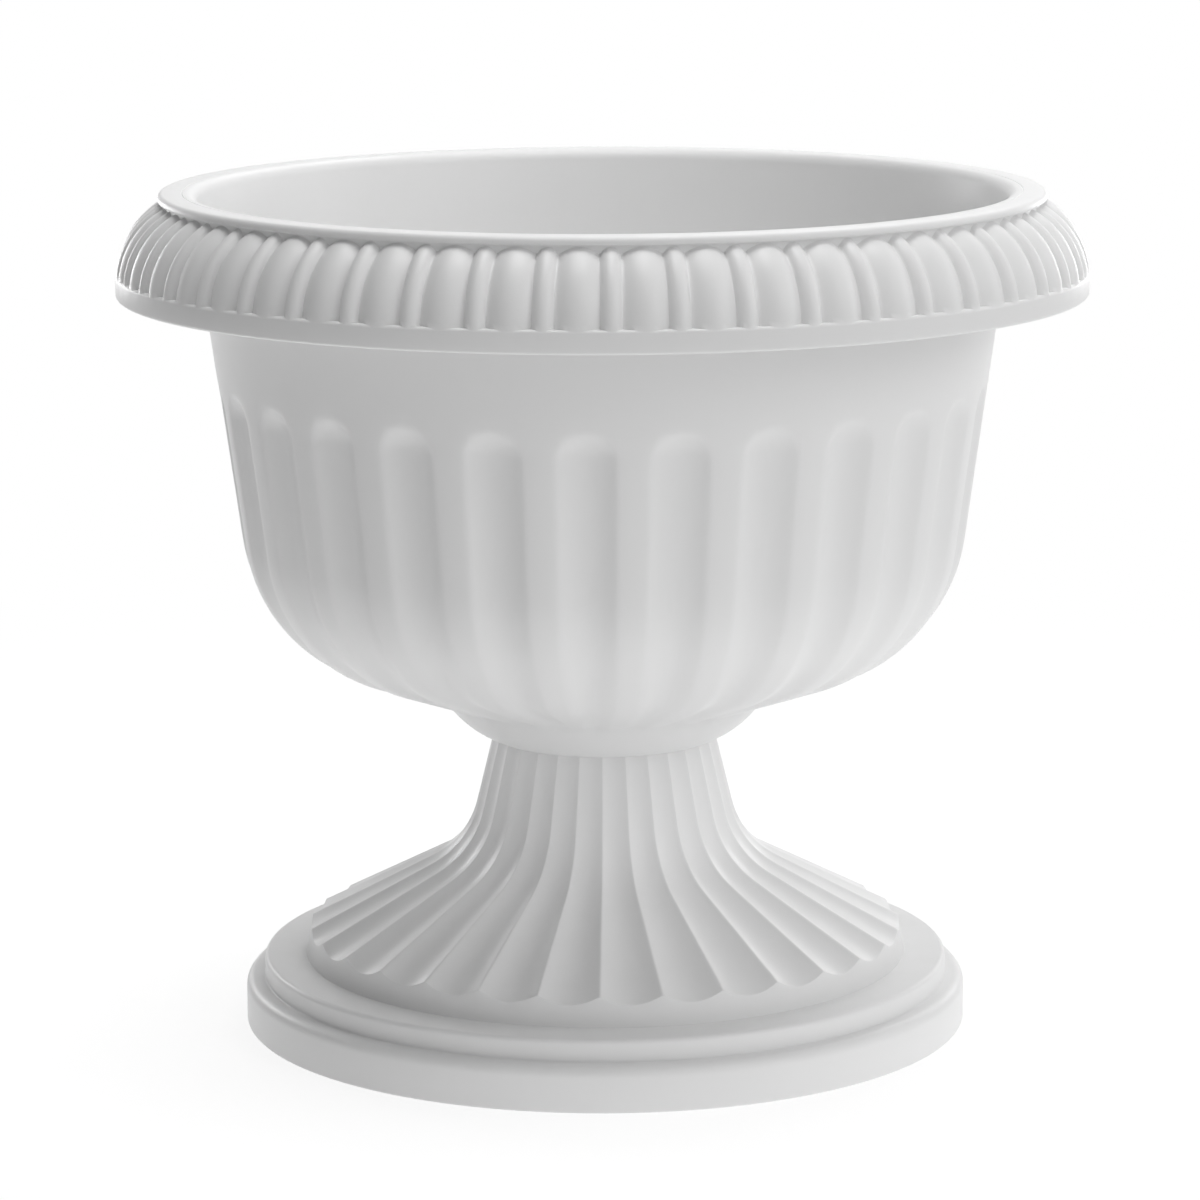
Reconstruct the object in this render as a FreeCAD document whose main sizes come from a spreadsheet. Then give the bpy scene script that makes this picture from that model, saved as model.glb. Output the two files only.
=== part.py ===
import FreeCAD, Part
import math
import os
import Sketcher
from FreeCAD import Vector

# Urn planter: a fluted bowl with an egg-and-dart rim, twist-locked on a fluted pedestal.
#
# Millimetres, +Z up. The origin is the middle of the pedestal's foot, on the ground, and Z is
# the axis of the urn, about which everything round is turned.

# Driving sizes. Each one fills a cell of the sheet, under its own name.
# What sits on, inside or above another thing is given as a step from it, not from the ground.
SIZES = {
    # shell thickness of both mouldings, and the two kinds of clearance between pieces
    "wall": 3.0,
    "running_gap": 0.1,
    "lug_gap": 0.3,
    # pedestal: foot band, step and drum, from the ground up
    "band_radius": 154.0,
    "band_top": 19.2,
    "band_round": 4.5,
    "foot_round": 1.0,
    "band_ledge": 8.0,
    "step_high": 9.1,
    "step_round": 2.2,
    "step_ledge": 17.7,
    "drum_high": 12.3,
    "drum_lean": 2.0,
    "drum_bow": 40.0,
    # pedestal: ridge line of the fluted skirt, two straight runs joined by a bend
    "bend_reach": 11.5,
    "bend_high": 34.7,
    "bend_round": 38.0,
    "neck_radius": 47.3,
    "seat_high": 122.0,
    "skirt_flutes": 31,
    "skirt_flute_depth": 3.2,
    "skirt_turn": 1.0,
    # bowl: rounded boss, sloping underside, belly and drafted wall
    "bowl_high": 233.0,
    "boss_lap": 0.6,
    "boss_spread": 20.7,
    "boss_high": 16.3,
    "boss_round": 42.4,
    "wall_lean": 25.5,
    "belly_high": 44.0,
    "belly_round": 69.5,
    "floor": 3.5,
    # bowl: round-ended flutes pressed into the wall
    "bowl_flutes": 27,
    "flute_drop": 91.0,
    "flute_radius": 14.0,
    "flute_depth": 5.4,
    "flute_low_depth": 0.9,
    # rim: flange, ring of eggs and darts, and the lip above them
    "flange_radius": 203.2,
    "flange_thick": 9.5,
    "flange_drop": 33.2,
    "flange_round": 1.4,
    "rim_overhang": 30.8,
    "egg_pairs": 48,
    "ring_inset": 36.7,
    "ring_drop": 36.5,
    "ring_radius": 36.6,
    "ring_valley": 3.6,
    "egg_radius": 13.0,
    "dart_radius": 4.5,
    "lip_inset": 18.0,
    "lip_thick": 3.2,
    "groove_deep": 2.0,
    "lip_round": 2.4,
    "mouth_round": 5.0,
    # twist lock: lugs on a spigot under the bowl turn below the pedestal's neck plate
    "neck_ledge": 17.5,
    "spigot_length": 8.0,
    "lug_reach": 5.0,
    "lug_height": 3.5,
    "lug_angle": 34.0,
    "lug_count": 3,
    "lock_turn": 50.0,
    "stop_angle": 8.0,
    "slack_angle": 0.7,
    # drain hole and its push-in plug
    "drain_radius": 9.0,
    "plug_head_radius": 15.0,
    "plug_head": 3.0,
    "plug_stem": 9.0,
    "pull_width": 5.0,
    "pull_length": 16.0,
    "pull_high": 11.0,
    "pull_round": 2.2,
}

# Places that follow from the sizes above, so that a piece stays whole when one of them changes.
SUMS = {
    "step_radius": "band_radius - band_ledge",
    "step_top": "band_top + step_high",
    "drum_radius": "step_radius - step_ledge",
    "skirt_radius": "drum_radius - drum_lean",
    "skirt_low": "step_top + drum_high",
    "bend_corner_radius": "neck_radius + bend_reach",
    "bend_corner_high": "skirt_low + bend_high",
    "spigot_radius": "neck_radius - neck_ledge",
    "boss_low_radius": "neck_radius + boss_lap",
    "boss_radius": "neck_radius + boss_spread",
    "boss_top": "seat_high + boss_high",
    "lip_top": "seat_high + bowl_high",
    "lip_low": "lip_top - lip_thick",
    "lip_radius": "flange_radius - lip_inset",
    "lip_groove_radius": "lip_radius - groove_deep",
    "wall_top_radius": "flange_radius - rim_overhang",
    "belly_corner_radius": "wall_top_radius - wall_lean",
    "belly_corner_high": "seat_high + belly_high",
    "flute_top": "lip_top - flute_drop",
    "flange_top": "lip_top - flange_drop",
    "flange_low": "flange_top - flange_thick",
    "ring_centre_radius": "flange_radius - ring_inset",
    "ring_centre_high": "lip_top - ring_drop",
}

UP = Vector(0, 0, 1)

doc = FreeCAD.newDocument("urn_planter")
sheet = doc.addObject("Spreadsheet::Sheet", "sizes")
for row, (word, number) in enumerate(SIZES.items(), start=1):
    sheet.set("A%d" % row, word)
    sheet.set("B%d" % row, str(number))
    sheet.setAlias("B%d" % row, word)
doc.recompute()


# ---------------------------------------------------------------- sums of named sizes

def is_number(word):
    return word.replace(".", "").isdigit()


def amount_of(word):
    """The value of one number, cell or named place."""
    if is_number(word):
        return float(word)
    return size(SUMS[word]) if word in SUMS else float(sheet.get(word))


def in_cells(word):
    """One number, sign, cell or named place as an expression on the sheet's cells."""
    if is_number(word) or word in ("+", "-"):
        return word
    return "(%s)" % bound(SUMS[word]) if word in SUMS else "sizes." + word


def size(text):
    """The value of a sum such as 'band_radius - 0.5*wall', read from the sheet's cells."""
    total, sign = 0.0, 1
    for term in text.split():
        if term in ("+", "-"):
            sign = 1 if term == "+" else -1
            continue
        amount = sign
        for word in term.split("*"):
            amount *= amount_of(word)
        total += amount
    return total


def bound(text):
    """The same sum as an expression on the sheet's cells."""
    terms = [" * ".join(in_cells(word) for word in term.split("*")) for term in text.split()]
    return " ".join(terms)


def bind(thing, field, text):
    """Tie one property of an object to a sum of named sizes."""
    thing.setExpression(field, bound(text))


# ---------------------------------------------------------------- outlines and turned bodies

def corner_arc(before, corner, after, radius):
    """Centre and both tangent points of an arc that rounds a corner."""
    back = (before - corner).normalize()
    on = (after - corner).normalize()
    half = back.getAngle(on) / 2
    reach = radius / math.tan(half)
    middle = (back + on).normalize() * (radius / math.sin(half))
    return corner + middle, corner + back * reach, corner + on * reach


def bow_centre(start, end, radius, side):
    """Centre of an arc between two points: side 1 puts it left of the way along, -1 right."""
    chord = end - start
    left = Vector(-chord.y, chord.x, 0).normalize()
    return (start + end) / 2 + left * (side * math.sqrt(radius ** 2 - chord.Length ** 2 / 4))


def add_line(sketch, start, end):
    return sketch.addGeometry(Part.LineSegment(start, end), False), 1, 2


def add_arc(sketch, centre, start, end, radius_text):
    """Add the short arc from start to end. Gives its index and its two end numbers."""
    arm, arm_end = start - centre, end - centre
    forward = arm.x * arm_end.y > arm.y * arm_end.x
    first, last = (arm, arm_end) if forward else (arm_end, arm)
    circle = Part.Circle(centre, UP, arm.Length)
    angles = [math.atan2(point.y, point.x) for point in (first, last)]
    index = sketch.addGeometry(Part.ArcOfCircle(circle, *angles), False)
    held = sketch.addConstraint(Sketcher.Constraint("Radius", index, arm.Length))
    bind(sketch, "Constraints[%d]" % held, radius_text)
    return (index, 1, 2) if forward else (index, 2, 1)


def fix_point(sketch, index, end, across, up):
    """Hold a point of the sketch at its named distances from the origin."""
    for kind, text in (("DistanceX", across), ("DistanceY", up)):
        value = size(text)
        if abs(value) < 1e-9:
            axis = -2 if kind == "DistanceX" else -1
            sketch.addConstraint(Sketcher.Constraint("PointOnObject", index, end, axis))
            continue
        held = sketch.addConstraint(Sketcher.Constraint(kind, -1, 1, index, end, value))
        bind(sketch, "Constraints[%d]" % held, text)


def draw_outline(sketch, corners):
    """Draw a closed outline through named corners, each (across, up) and then maybe
    "round" and a radius, which rounds that corner, or "bow", a radius and a side, which
    bends the edge that leaves it into an arc.
    """
    spots = [Vector(size(corner[0]), size(corner[1]), 0) for corner in corners]
    arrive, leave, centres = list(spots), list(spots), {}
    for i, corner in enumerate(corners):
        if "round" in corner:
            after = spots[(i + 1) % len(spots)]
            centres[i], arrive[i], leave[i] = corner_arc(spots[i - 1], spots[i], after,
                                                         size(corner[3]))
    edges = []
    for i, corner in enumerate(corners):
        end = arrive[(i + 1) % len(spots)]
        if "bow" in corner:
            centre = bow_centre(leave[i], end, size(corner[3]), corner[4])
            edges.append(add_arc(sketch, centre, leave[i], end, corner[3]))
        else:
            edges.append(add_line(sketch, leave[i], end))
    for i, corner in enumerate(corners):
        before, first, last = edges[i - 1]
        edge, start, end = edges[i]
        if i not in centres:
            sketch.addConstraint(Sketcher.Constraint("Coincident", before, last, edge, start))
            fix_point(sketch, edge, start, corner[0], corner[1])
            continue
        arc, head, tail = add_arc(sketch, centres[i], arrive[i], leave[i], corner[3])
        sketch.addConstraint(Sketcher.Constraint("Tangent", before, last, arc, head))
        sketch.addConstraint(Sketcher.Constraint("Tangent", arc, tail, edge, start))
        spot = sketch.addGeometry(Part.Point(spots[i]), True)
        fix_point(sketch, spot, 1, corner[0], corner[1])
        for line in (before, edge):
            sketch.addConstraint(Sketcher.Constraint("PointOnObject", spot, 1, line))


def new_sketch(body, name, plane_role):
    """A sketch that lies flat on one of its own body's origin planes."""
    sketch = body.newObject("Sketcher::SketchObject", name)
    plane = [item for item in body.Origin.OriginFeatures if item.Role == plane_role][0]
    sketch.AttachmentSupport = (plane, [""])
    sketch.MapMode = "FlatFace"
    return sketch


def turned(name, corners, angle=None):
    """A body turned about Z from one outline: all the way round, or through a named angle
    shared equally between the two sides of the XZ plane."""
    body = doc.addObject("PartDesign::Body", name)
    sketch = new_sketch(body, name + "_outline", "XZ_Plane")
    draw_outline(sketch, corners)
    turn = body.newObject("PartDesign::Revolution", name + "_turn")
    turn.Profile = (sketch, [""])
    turn.ReferenceAxis = (sketch, ["V_Axis"])
    turn.Angle = 360
    if angle:
        turn.Midplane = True
        bind(turn, "Angle", angle)
    doc.recompute()
    return body


def ring_of(body, count_text):
    """Repeat a body's last feature in equal steps round Z."""
    pattern = body.newObject("PartDesign::PolarPattern", body.Name + "_ring")
    axis = [item for item in body.Origin.OriginFeatures if item.Role == "Z_Axis"][0]
    pattern.Originals = [body.Tip]
    pattern.Axis = (axis, [""])
    pattern.Angle = 360
    bind(pattern, "Occurrences", count_text)
    body.Tip = pattern
    doc.recompute()


def joined(name, pieces):
    result = doc.addObject("Part::MultiFuse", name)
    result.Shapes = pieces
    doc.recompute()
    return result


def two_piece(kind, name, base, tool):
    """A boolean of two objects: "Part::Cut" or "Part::Common"."""
    result = doc.addObject(kind, name)
    result.Base, result.Tool = base, tool
    doc.recompute()
    return result


def cut(name, base, tool):
    return two_piece("Part::Cut", name, base, tool)


def common(name, base, tool):
    return two_piece("Part::Common", name, base, tool)


def formed(name, shape):
    """A plain feature, for the forms that a turned outline can't give."""
    feature = doc.addObject("Part::Feature", name)
    feature.Shape = shape
    return feature


def copies_round(shape, count):
    """Equal copies of a solid round Z, the first one where the solid is."""
    pieces = []
    for i in range(int(count)):
        piece = shape.copy()
        piece.rotate(Vector(), UP, 360.0 * i / count)
        pieces.append(piece)
    return Part.makeCompound(pieces)


def closed_ring(piece, count):
    """Fuse equal slices into a whole ring: each round joins as many copies of what is made
    so far as the next prime factor of the count says."""
    whole, made = piece, 1
    while made < count:
        left = count // made
        factor = next(number for number in range(2, left + 1) if left % number == 0)
        turn = 360.0 * made / count
        others = []
        for i in range(1, factor):
            other = whole.copy()
            other.rotate(Vector(), UP, turn * i)
            others.append(other)
        whole = whole.fuse(others)
        made *= factor
    return whole.removeSplitter()


# ---------------------------------------------------------------- a line that bends once

def shifted(chain, amounts):
    """A chain low-corner-high with each point moved inward by its own amount, measured
    square to the runs. Inward is to the left of the way up."""
    low, corner, high = chain
    first = Vector(low.y - corner.y, corner.x - low.x, 0).normalize()
    second = Vector(corner.y - high.y, high.x - corner.x, 0).normalize()
    start, end = low + first * amounts[0], high + second * amounts[2]
    one, two = corner + first * amounts[1], corner + second * amounts[1]
    way, other = one - start, end - two
    share = ((two - start).x * other.y - (two - start).y * other.x) / (
        way.x * other.y - way.y * other.x)
    return [start, start + way * share, end]


def chain_radius(chain, bend, high):
    """How far the bent line is from the axis at one height."""
    low, corner, top = chain
    centre, first, last = corner_arc(low, corner, top, bend)
    if high <= first.y:
        return low.x + (corner.x - low.x) * (high - low.y) / (corner.y - low.y)
    if high >= last.y:
        return corner.x + (top.x - corner.x) * (high - corner.y) / (top.y - corner.y)
    return centre.x - math.sqrt(bend ** 2 - (high - centre.y) ** 2)


# ---------------------------------------------------------------- pedestal

RIDGE = [Vector(size("skirt_radius"), size("skirt_low"), 0),
         Vector(size("bend_corner_radius"), size("bend_corner_high"), 0),
         Vector(size("neck_radius"), size("seat_high"), 0)]


def fluted_skirt(inset, low, high):
    """The fluted trumpet as a loft through level rings of hollow arcs that meet in ridges.
    A flute keeps its share of the width, so it is shallower where the skirt is narrow."""
    share = size("skirt_flute_depth") / size("skirt_radius")
    ridge = shifted(RIDGE, [inset] * 3)
    valley = shifted(RIDGE, [inset + share * point.x for point in RIDGE])
    bend = size("bend_round")
    _, first, last = corner_arc(*ridge, bend)
    steps = 4
    levels = [low, (low + first.y) / 2]
    levels += [first.y + (last.y - first.y) * i / steps for i in range(steps + 1)]
    levels += [(last.y + high) / 2, high]
    count = int(size("skirt_flutes"))
    pitch = 2 * math.pi / count
    rings = []
    for level in levels:
        edges = []
        for i in range(count):
            start = math.radians(size("skirt_turn")) + i * pitch
            places = ((start, ridge), (start + pitch / 2, valley), (start + pitch, ridge))
            spots = []
            for angle, chain in places:
                reach = chain_radius(chain, bend, level)
                spots.append(Vector(reach * math.cos(angle), reach * math.sin(angle), level))
            edges.append(Part.Arc(*spots).toShape())
        rings.append(Part.Wire(edges))
    return Part.makeLoft(rings, True, False)


def skirt_envelope(name, inset, high):
    """What bounds the pedestal above its step: the fluted skirt on a wide apron."""
    low = size("step_top") - inset
    apron_top = low + 2.0
    skirt = fluted_skirt(inset, low, high)
    apron = Part.makeCylinder(size("band_radius") + 20.0, apron_top + 1.0, Vector(0, 0, -1.0))
    return formed(name, skirt.fuse(apron))


def pedestal():
    column = turned("pedestal_column", [
        ("0", "0"),
        ("band_radius", "0", "round", "foot_round"),
        ("band_radius", "band_top", "round", "band_round"),
        ("step_radius", "band_top"),
        ("step_radius", "step_top", "round", "step_round"),
        ("drum_radius", "step_top", "bow", "drum_bow", -1),
        ("skirt_radius", "skirt_low"),
        ("skirt_radius", "seat_high"),
        ("0", "seat_high")])
    outside = common("pedestal_outside", column,
                     skirt_envelope("skirt_outside", 0.0, size("seat_high")))
    core = turned("pedestal_core", [
        ("0", "0"),
        ("band_radius - wall", "0"),
        ("band_radius - wall", "band_top - wall", "round", "band_round - 0.5*wall"),
        ("step_radius - wall", "band_top - wall"),
        ("step_radius - wall", "step_top - wall"),
        ("drum_radius - wall", "step_top - wall"),
        ("skirt_radius - wall", "skirt_low"),
        ("skirt_radius - wall", "seat_high - wall"),
        ("0", "seat_high - wall")])
    inside = common("pedestal_inside", core,
                    skirt_envelope("skirt_inside", size("wall"), size("seat_high - wall")))
    shell = cut("pedestal_shell", outside, inside)

    neck_hole = turned("neck_hole", [
        ("0", "seat_high - 2*wall"),
        ("spigot_radius + running_gap", "seat_high - 2*wall"),
        ("spigot_radius + running_gap", "seat_high + wall"),
        ("0", "seat_high + wall")])
    slots = turned("lug_slots", [
        ("spigot_radius - wall", "seat_high - 2*wall"),
        ("spigot_radius + lug_reach + lug_gap", "seat_high - 2*wall"),
        ("spigot_radius + lug_reach + lug_gap", "seat_high + wall"),
        ("spigot_radius - wall", "seat_high + wall")],
        angle="lug_angle + 2*slack_angle")
    ring_of(slots, "lug_count")
    slots.Placement.Rotation = FreeCAD.Rotation(UP, size("lock_turn"))
    opened = cut("pedestal_opened", cut("pedestal_bored", shell, neck_hole), slots)

    stops = []
    for name, turn in (("locked_stops", "0 - 0.5*lug_angle - slack_angle - 0.5*stop_angle"),
                       ("open_stops", "lock_turn + 0.5*lug_angle + slack_angle + 0.5*stop_angle")):
        stop = turned(name, [
            ("spigot_radius + 2*lug_gap", "seat_high - wall - lug_gap - lug_height"),
            ("spigot_radius + lug_reach + wall", "seat_high - wall - lug_gap - lug_height"),
            ("spigot_radius + lug_reach + wall", "seat_high - 0.8*wall"),
            ("spigot_radius + 2*lug_gap", "seat_high - 0.8*wall")],
            angle="stop_angle")
        ring_of(stop, "lug_count")
        stop.Placement.Rotation = FreeCAD.Rotation(UP, size(turn))
        stops.append(stop)
    return joined("pedestal", [opened] + stops)


# ---------------------------------------------------------------- bowl

def flute_path(radius):
    """Middle line of a ball-ended flute in the XZ plane: down the drafted wall, round the
    belly and under the bowl to the boss, coming nearer to the surface on the way out."""
    top = Vector(size("wall_top_radius"), size("lip_top"), 0)
    corner = Vector(size("belly_corner_radius"), size("belly_corner_high"), 0)
    foot = Vector(size("boss_radius"), size("boss_top"), 0)
    deep, shallow = size("flute_depth"), size("flute_low_depth")
    middle = (2 * deep + shallow) / 3
    reach = size("flute_radius")
    line = shifted([foot, corner, top], [shallow - reach, middle - reach, deep - reach])
    share = (size("flute_top") - line[1].y) / (line[2].y - line[1].y)
    head = line[1] + (line[2] - line[1]) * share
    tail = line[0] + (line[0] - line[1]).normalize() * size("wall")
    bend = size("belly_round") + reach - middle
    centre, after, before = corner_arc(tail, line[1], head, bend)
    way = (line[1] - centre).normalize()
    mid = centre + way * bend
    spots = [Vector(spot.x, 0, spot.y) for spot in (head, before, mid, after, tail)]
    edges = [Part.LineSegment(spots[0], spots[1]).toShape(),
             Part.Arc(spots[1], spots[2], spots[3]).toShape(),
             Part.LineSegment(spots[3], spots[4]).toShape()]
    return Part.Wire(edges), spots[0], spots[1] - spots[0]


def flute_tools(name, radius):
    """One ball-ended cutter of a radius for each flute, in a ring."""
    path, head, way = flute_path(radius)
    disc = Part.Wire(Part.makeCircle(radius, head, way))
    tool = path.makePipeShell([disc], True, False)
    tool = tool.fuse(Part.makeSphere(radius, head))
    return formed(name, copies_round(tool, size("bowl_flutes")))


def rim_bead(radius):
    """One convex bead of the rim: a disc swept up round the ring's centre line into the
    wall behind the lip."""
    centre = Vector(size("ring_centre_radius"), 0, size("ring_centre_high"))
    middle = centre + Vector(size("ring_radius") - radius, 0, 0)
    disc = Part.Face(Part.Wire(Part.makeCircle(radius, middle, UP)))
    return disc.revolve(centre, Vector(0, -1, 0), 74.0)


def bowl_rim():
    """Flange, ring of eggs and darts, groove and lip, hollow from below."""
    inner = "wall_top_radius - 4*wall"
    form = turned("rim_form", [
        (inner, "flange_low"),
        ("flange_radius", "flange_low", "round", "flange_round"),
        ("flange_radius", "flange_top", "round", "flange_round"),
        ("lip_groove_radius", "flange_top"),
        ("lip_groove_radius", "lip_low"),
        ("lip_radius", "lip_low"),
        ("lip_radius", "lip_top", "round", "lip_round"),
        (inner, "lip_top")])
    valley = "ring_radius - ring_valley"
    ring = turned("rim_ring", [
        (inner, "ring_centre_high"),
        ("ring_centre_radius + " + valley, "ring_centre_high", "bow", valley, 1),
        ("ring_centre_radius", "ring_centre_high + " + valley),
        (inner, "ring_centre_high + " + valley)])
    under = valley + " - wall"
    hollow = turned("rim_hollow", [
        (inner, "flange_low - wall"),
        ("flange_radius - wall", "flange_low - wall"),
        ("flange_radius - wall", "ring_centre_high - wall"),
        ("ring_centre_radius + " + under, "ring_centre_high", "bow", under, 1),
        ("ring_centre_radius", "ring_centre_high + " + under),
        (inner, "ring_centre_high + " + under)])
    # One pitch of the ring holds a dart between two half eggs. It is made once and repeated.
    pitch = 360.0 / size("egg_pairs")
    beads = [formed("rim_dart", rim_bead(size("dart_radius")))]
    for name, side in (("rim_egg_before", -1), ("rim_egg_after", 1)):
        egg = rim_bead(size("egg_radius"))
        egg.rotate(Vector(), UP, side * pitch / 2)
        beads.append(formed(name, egg))
    whole = cut("rim_whole", joined("rim_blank", [form, ring] + beads), hollow)
    wedge = Part.makeCylinder(size("flange_radius") + 10.0, size("lip_top"), Vector(), UP, pitch)
    wedge.rotate(Vector(), UP, -pitch / 2)
    slice_of_rim = common("rim_slice", whole, formed("rim_wedge", wedge))
    return formed("rim", closed_ring(slice_of_rim.Shape, int(size("egg_pairs"))))


def bowl():
    core = turned("bowl_core", [
        ("0", "boss_top"),
        ("boss_radius", "boss_top"),
        ("belly_corner_radius", "belly_corner_high", "round", "belly_round"),
        ("wall_top_radius", "lip_top"),
        ("0", "lip_top")])
    fluted = cut("bowl_fluted", core, flute_tools("flute_cutters", size("flute_radius")))
    boss = turned("bowl_boss", [
        ("0", "seat_high"),
        ("spigot_radius - wall", "seat_high"),
        ("spigot_radius - wall", "seat_high - spigot_length"),
        ("spigot_radius", "seat_high - spigot_length"),
        ("spigot_radius", "seat_high"),
        ("boss_low_radius", "seat_high", "bow", "boss_round", 1),
        ("boss_radius", "boss_top"),
        ("boss_radius", "boss_top + 2*wall"),
        ("0", "boss_top + 2*wall")])
    lugs = turned("bowl_lugs", [
        ("spigot_radius - 0.5*wall", "seat_high - wall - lug_gap - lug_height"),
        ("spigot_radius + lug_reach", "seat_high - wall - lug_gap - lug_height"),
        ("spigot_radius + lug_reach", "seat_high - wall - lug_gap"),
        ("spigot_radius - 0.5*wall", "seat_high - wall - lug_gap")],
        angle="lug_angle")
    ring_of(lugs, "lug_count")
    solid = joined("bowl_solid", [fluted, boss, lugs, bowl_rim()])

    space = turned("bowl_space", [
        ("0", "seat_high - spigot_length"),
        ("drain_radius", "seat_high - spigot_length"),
        ("drain_radius", "seat_high + floor"),
        ("boss_low_radius", "seat_high + floor", "bow", "boss_round - wall", 1),
        ("boss_radius - 0.7*wall", "boss_top + 0.83*wall"),
        ("belly_corner_radius - 0.9*wall", "belly_corner_high + 0.745*wall", "round",
         "belly_round - wall"),
        ("wall_top_radius - wall", "lip_top", "round", "mouth_round"),
        ("lip_radius", "lip_top"),
        ("lip_radius", "lip_top + wall"),
        ("0", "lip_top + wall")])
    ribbed = cut("bowl_space_ribbed", space,
                 flute_tools("flute_backs", size("flute_radius + wall")))
    return cut("bowl", solid, ribbed)


# ---------------------------------------------------------------- drain plug

def drain_plug():
    body = turned("drain_plug", [
        ("0", "seat_high + floor - plug_stem"),
        ("drain_radius - running_gap", "seat_high + floor - plug_stem", "round", "0.5*wall"),
        ("drain_radius - running_gap", "seat_high + floor"),
        ("plug_head_radius", "seat_high + floor"),
        ("plug_head_radius", "seat_high + floor + plug_head", "round", "0.4*plug_head"),
        ("0", "seat_high + floor + plug_head")])
    sketch = new_sketch(body, "pull_outline", "XZ_Plane")
    low = "seat_high + floor + 0.5*plug_head"
    top = "seat_high + floor + plug_head + pull_high"
    corners = [(-1, low), (1, low), (1, top), (-1, top)]
    spots = [Vector(side * size("0.5*pull_length"), size(high), 0) for side, high in corners]
    for i in range(4):
        add_line(sketch, spots[i], spots[(i + 1) % 4])
    for i in range(4):
        sketch.addConstraint(Sketcher.Constraint("Coincident", i, 2, (i + 1) % 4, 1))
    for kind, line in (("Vertical", 1), ("Horizontal", 2), ("Vertical", 3)):
        sketch.addConstraint(Sketcher.Constraint(kind, line))
    sketch.addConstraint(Sketcher.Constraint("Symmetric", 0, 1, 0, 2, -2))
    for args, text in ((("DistanceX", 0, 1, 0, 2), "pull_length"),
                       (("DistanceY", -1, 1, 0, 1), low), (("DistanceY", -1, 1, 2, 1), top)):
        held = sketch.addConstraint(Sketcher.Constraint(*args, size(text)))
        bind(sketch, "Constraints[%d]" % held, text)
    pull = body.newObject("PartDesign::Pad", "pull")
    pull.Profile = (sketch, [""])
    pull.Midplane = True
    bind(pull, "Length", "pull_width")
    doc.recompute()
    level = size(top)
    edges = ["Edge%d" % (i + 1) for i, edge in enumerate(pull.Shape.Edges)
             if all(abs(vertex.Z - level) < 1e-6 for vertex in edge.Vertexes)]
    rounded = body.newObject("PartDesign::Fillet", "pull_rounded")
    rounded.Base = (pull, edges)
    bind(rounded, "Radius", "pull_round")
    doc.recompute()
    return body


# ---------------------------------------------------------------- build, check and write

subparts = {"pedestal": pedestal(), "bowl": bowl(), "drain_plug": drain_plug()}
for name, piece in subparts.items():
    piece.Label = name
doc.recompute()

for item in doc.Objects:
    for state in item.State:
        if state in ("Invalid", "Error"):
            raise RuntimeError("%s is %s" % (item.Name, state))
for name, piece in subparts.items():
    shape = piece.Shape
    if shape.isNull() or not shape.isValid() or len(shape.Solids) != 1:
        raise RuntimeError("%s is not one sound solid" % name)

os.makedirs("parts", exist_ok=True)
for name, piece in subparts.items():
    piece.Shape.exportStep("parts/%s.step" % name)
    box = piece.Shape.BoundBox
    print("%-12s %9.1f cm3   z %6.1f to %6.1f   across %6.1f" % (
        name, piece.Shape.Volume / 1000, box.ZMin, box.ZMax, box.XLength))
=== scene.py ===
# %% [markdown]
# # A fluted urn planter in white moulded plastic
#
# The real planter is two mouldings and a plug: a bowl with an egg-and-dart rim, a flared
# pedestal that the bowl twists into, and a push-in plug at the bottom of the bowl. We first load
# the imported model. It is the frame that every piece here has to fit, and its joints carry them.

import cmath
import math

import bmesh
import bpy
from mathutils import Matrix, Vector


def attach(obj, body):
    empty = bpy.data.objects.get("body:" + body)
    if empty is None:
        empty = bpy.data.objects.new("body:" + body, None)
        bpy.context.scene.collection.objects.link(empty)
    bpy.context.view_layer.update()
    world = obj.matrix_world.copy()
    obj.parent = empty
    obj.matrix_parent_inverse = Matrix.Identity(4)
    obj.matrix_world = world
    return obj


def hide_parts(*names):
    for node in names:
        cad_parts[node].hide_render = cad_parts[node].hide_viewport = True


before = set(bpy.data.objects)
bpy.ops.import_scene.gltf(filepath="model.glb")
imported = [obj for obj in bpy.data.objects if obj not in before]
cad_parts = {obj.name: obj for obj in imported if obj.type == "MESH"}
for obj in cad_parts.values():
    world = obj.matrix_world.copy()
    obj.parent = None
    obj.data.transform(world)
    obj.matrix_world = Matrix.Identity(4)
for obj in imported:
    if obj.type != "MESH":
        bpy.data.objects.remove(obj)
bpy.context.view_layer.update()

# %% [markdown]
# ## Sizes
#
# Both mouldings are round about Z, so most sizes are a radius or a height. They are the real
# ones, in millimetres, and the meshes are scaled to metres at the very end. Only the sizes that
# both mouldings share stand here. The others come with the piece that needs them.

# %% Sizes that the pieces share
MM = 0.001
WALL = 3.0
LIP_TOP = 355.0
SEAT = 122.0
print("the urn is", LIP_TOP, "mm high, and the bowl sits on the neck at", SEAT, "mm")

# %% [markdown]
# ## Drawing an outline
#
# A point of an outline is a complex number: the real part is the radius and the imaginary part
# the height. Turning an arc is then one multiplication, which keeps the corner rounding short.

# %% Outline helpers
def arc(middle, start, end, steps):
    """Points from start to end, the short way round the middle."""
    turn = cmath.phase((end - middle) / (start - middle))
    return [middle + (start - middle) * cmath.exp(1j * turn * k / steps) for k in range(steps + 1)]


def corner_round(before, corner, after, radius, steps=4):
    """The arc that rounds a corner."""
    back = (before - corner) / abs(before - corner)
    on = (after - corner) / abs(after - corner)
    half = abs(cmath.phase(on / back)) / 2
    middle = corner + (back + on) / abs(back + on) * radius / math.sin(half)
    reach = radius / math.tan(half)
    return arc(middle, corner + back * reach, corner + on * reach, steps)


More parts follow.
